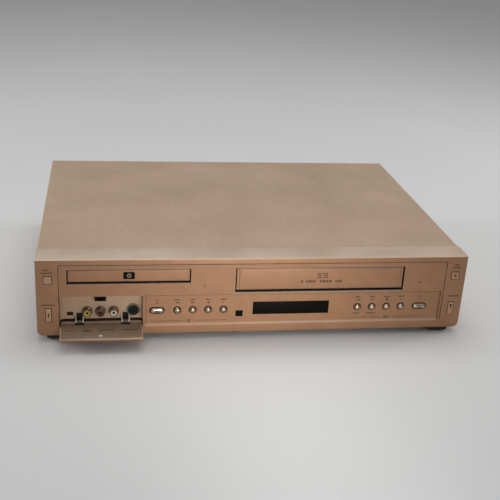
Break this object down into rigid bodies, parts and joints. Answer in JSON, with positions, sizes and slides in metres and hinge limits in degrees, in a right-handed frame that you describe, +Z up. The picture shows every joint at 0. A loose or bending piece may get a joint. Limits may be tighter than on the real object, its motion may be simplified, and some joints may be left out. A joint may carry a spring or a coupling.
{
  "type": "disc recorder and video cassette deck",
  "caption": "Wide low disc recorder and video cassette deck with a sliding tray, an inward-swinging cassette door, push buttons and a front jack bay under a drop-down flap.",
  "frame": {"origin": "middle of the footprint on the surface the feet stand on", "axes": "+Z up, +Y to the rear panel, +X to the right seen from the front"},
  "size_m": [0.4728, 0.3778, 0.0951],
  "materials": {
    "panel": "champagne painted plastic, fine metallic grain",
    "cover": "beige-grey painted steel",
    "steel": "plain zinc-plated steel",
    "bright": "bright plated",
    "black": "black moulded plastic",
    "rubber": "dark rubber",
    "screw": "blackened steel",
    "window": "dark smoked acrylic",
    "board": "green circuit board",
    "yellow": "yellow plastic",
    "red": "red plastic",
    "white": "white plastic"
  },
  "bodies": {
    "chassis": {"base_pan": "steel", "front_panel": "panel", "top_cover": "cover", "rear_panel": "steel", "feet": "rubber", "cover_screws": "screw", "display_window": "window", "remote_window": "window", "control_boards": "board", "phono_shells": "bright", "phono_yellow": "yellow", "phono_red": "red", "phono_white": "white", "bay_sockets": "black", "flap_latch": "black", "loader_frame": "black", "clamp_bridge": "steel", "deck_frame": "steel", "lower_drum": "bright", "loading_motor": "black", "tape_posts": "bright", "main_board": "board", "power_board": "board", "rear_jacks": "bright", "power_inlet": "black", "fan_frame": "black"},
    "flap": {"jack_flap": "panel"},
    "tray": {"disc_tray": "black", "tray_front": "panel"},
    "tray_drive": {"tray_gear": "white"},
    "traverse": {"traverse": "steel"},
    "turntable": {"turntable": "black"},
    "pickup": {"pickup_sled": "black"},
    "lead_screw": {"lead_screw": "bright"},
    "clamper": {"clamper": "white"},
    "door": {"cassette_door": "panel"},
    "carriage": {"carriage_yoke": "steel"},
    "holder": {"cassette_holder": "steel"},
    "supply_reel": {"supply_reel": "white"},
    "takeup_reel": {"takeup_reel": "white"},
    "drum": {"upper_drum": "bright"},
    "capstan": {"capstan": "bright"},
    "pinch_arm": {"pinch_arm": "steel"},
    "pinch_roller": {"pinch_roller": "rubber"},
    "fan": {"fan_rotor": "black"},
    "disc_record_button": {"disc_record_button": "bright"},
    "disc_back_button": {"disc_back_button": "bright"},
    "disc_next_button": {"disc_next_button": "bright"},
    "disc_stop_button": {"disc_stop_button": "bright"},
    "disc_play_button": {"disc_play_button": "bright"},
    "tape_rewind_button": {"tape_rewind_button": "bright"},
    "tape_forward_button": {"tape_forward_button": "bright"},
    "tape_stop_button": {"tape_stop_button": "bright"},
    "tape_play_button": {"tape_play_button": "bright"},
    "tape_record_button": {"tape_record_button": "bright"},
    "upper_left_button": {"upper_left_button": "panel"},
    "lower_left_button": {"lower_left_button": "panel"},
    "upper_right_button": {"upper_right_button": "panel"},
    "lower_right_button": {"lower_right_button": "panel"}
  },
  "joints": [
    {"name": "flap_hinge", "type": "hinge", "parent": "chassis", "child": "flap", "pos_m": [-0.1674, -0.15807, 0.0214], "axis": [-1, 0, 0], "range_deg": [0, 95.6]},
    {"name": "tray_slide", "type": "slide", "parent": "chassis", "child": "tray", "axis": [0, -1, 0], "range_m": [0, 0.138]},
    {"name": "tray_gear_spin", "type": "hinge", "parent": "chassis", "child": "tray_drive", "pos_m": [-0.1712, -0.14247, 0.0692], "axis": [0, 0, 1], "range_deg": [0, 660]},
    {"name": "traverse_tilt", "type": "hinge", "parent": "chassis", "child": "traverse", "pos_m": [-0.1382, 0.00253, 0.0625], "axis": [-1, 0, 0], "range_deg": [0, 4.6]},
    {"name": "turntable_spin", "type": "hinge", "parent": "traverse", "child": "turntable", "pos_m": [-0.1382, -0.09247, 0.0625], "axis": [0, 0, 1], "continuous": true},
    {"name": "clamper_spin", "type": "hinge", "parent": "chassis", "child": "clamper", "pos_m": [-0.1382, -0.09247, 0.0805], "axis": [0, 0, 1], "continuous": true},
    {"name": "pickup_slide", "type": "slide", "parent": "traverse", "child": "pickup", "axis": [0, 1, 0], "range_m": [0, 0.036]},
    {"name": "lead_screw_spin", "type": "hinge", "parent": "traverse", "child": "lead_screw", "pos_m": [-0.1082, -0.07247, 0.0645], "axis": [0, 1, 0], "range_deg": [0, 4330]},
    {"name": "door_hinge", "type": "hinge", "parent": "chassis", "child": "door", "pos_m": [0.069, -0.15697, 0.0885], "axis": [1, 0, 0], "range_deg": [0, 90], "stiffness_Nm_per_rad": 0.01, "springref_deg": -17.19},
    {"name": "carriage_slide", "type": "slide", "parent": "chassis", "child": "carriage", "axis": [0, -1, 0], "range_m": [-0.056, 0]},
    {"name": "carriage_drop", "type": "slide", "parent": "carriage", "child": "holder", "axis": [0, 0, 1], "range_m": [-0.022, 0]},
    {"name": "supply_spin", "type": "hinge", "parent": "chassis", "child": "supply_reel", "pos_m": [0.02275, -0.02147, 0.0227], "axis": [0, 0, 1], "continuous": true},
    {"name": "takeup_spin", "type": "hinge", "parent": "chassis", "child": "takeup_reel", "pos_m": [0.11525, -0.02147, 0.0227], "axis": [0, 0, 1], "continuous": true},
    {"name": "drum_spin", "type": "hinge", "parent": "chassis", "child": "drum", "pos_m": [0.069, 0.07753, 0.0227], "axis": [0, -0.1028, 0.9947], "continuous": true},
    {"name": "capstan_spin", "type": "hinge", "parent": "chassis", "child": "capstan", "pos_m": [0.131, 0.04153, 0.0227], "axis": [0, 0, 1], "continuous": true},
    {"name": "pinch_swing", "type": "hinge", "parent": "chassis", "child": "pinch_arm", "pos_m": [0.109, 0.05553, 0.0367], "axis": [0, 0, -1], "range_deg": [0, 30]},
    {"name": "pinch_roll", "type": "hinge", "parent": "pinch_arm", "child": "pinch_roller", "pos_m": [0.12858, 0.05958, 0.041], "axis": [0, 0, 1], "continuous": true},
    {"name": "fan_spin", "type": "hinge", "parent": "chassis", "child": "fan", "pos_m": [-0.15, 0.17153, 0.0515], "axis": [0, 1, 0], "continuous": true},
    {"name": "disc_record_press", "type": "slide", "parent": "chassis", "child": "disc_record_button", "axis": [0, 1, 0], "range_m": [0, 0.0008], "stiffness_N_per_m": 400},
    {"name": "disc_back_press", "type": "slide", "parent": "chassis", "child": "disc_back_button", "axis": [0, 1, 0], "range_m": [0, 0.0008], "stiffness_N_per_m": 400},
    {"name": "disc_next_press", "type": "slide", "parent": "chassis", "child": "disc_next_button", "axis": [0, 1, 0], "range_m": [0, 0.0008], "stiffness_N_per_m": 400},
    {"name": "disc_stop_press", "type": "slide", "parent": "chassis", "child": "disc_stop_button", "axis": [0, 1, 0], "range_m": [0, 0.0008], "stiffness_N_per_m": 400},
    {"name": "disc_play_press", "type": "slide", "parent": "chassis", "child": "disc_play_button", "axis": [0, 1, 0], "range_m": [0, 0.0008], "stiffness_N_per_m": 400},
    {"name": "tape_rewind_press", "type": "slide", "parent": "chassis", "child": "tape_rewind_button", "axis": [0, 1, 0], "range_m": [0, 0.0008], "stiffness_N_per_m": 400},
    {"name": "tape_forward_press", "type": "slide", "parent": "chassis", "child": "tape_forward_button", "axis": [0, 1, 0], "range_m": [0, 0.0008], "stiffness_N_per_m": 400},
    {"name": "tape_stop_press", "type": "slide", "parent": "chassis", "child": "tape_stop_button", "axis": [0, 1, 0], "range_m": [0, 0.0008], "stiffness_N_per_m": 400},
    {"name": "tape_play_press", "type": "slide", "parent": "chassis", "child": "tape_play_button", "axis": [0, 1, 0], "range_m": [0, 0.0008], "stiffness_N_per_m": 400},
    {"name": "tape_record_press", "type": "slide", "parent": "chassis", "child": "tape_record_button", "axis": [0, 1, 0], "range_m": [0, 0.0008], "stiffness_N_per_m": 400},
    {"name": "upper_left_press", "type": "slide", "parent": "chassis", "child": "upper_left_button", "axis": [0, 1, 0], "range_m": [0, 0.0008], "stiffness_N_per_m": 400},
    {"name": "lower_left_press", "type": "slide", "parent": "chassis", "child": "lower_left_button", "axis": [0, 1, 0], "range_m": [0, 0.0008], "stiffness_N_per_m": 400},
    {"name": "upper_right_press", "type": "slide", "parent": "chassis", "child": "upper_right_button", "axis": [0, 1, 0], "range_m": [0, 0.0008], "stiffness_N_per_m": 400},
    {"name": "lower_right_press", "type": "slide", "parent": "chassis", "child": "lower_right_button", "axis": [0, 1, 0], "range_m": [0, 0.0008], "stiffness_N_per_m": 400}
  ],
  "couplings": [
    {"joint": "tray_gear_spin", "follows": "tray_slide", "rad_per_m": 83.333},
    {"joint": "lead_screw_spin", "follows": "pickup_slide", "rad_per_m": 2094.4}
  ]
}
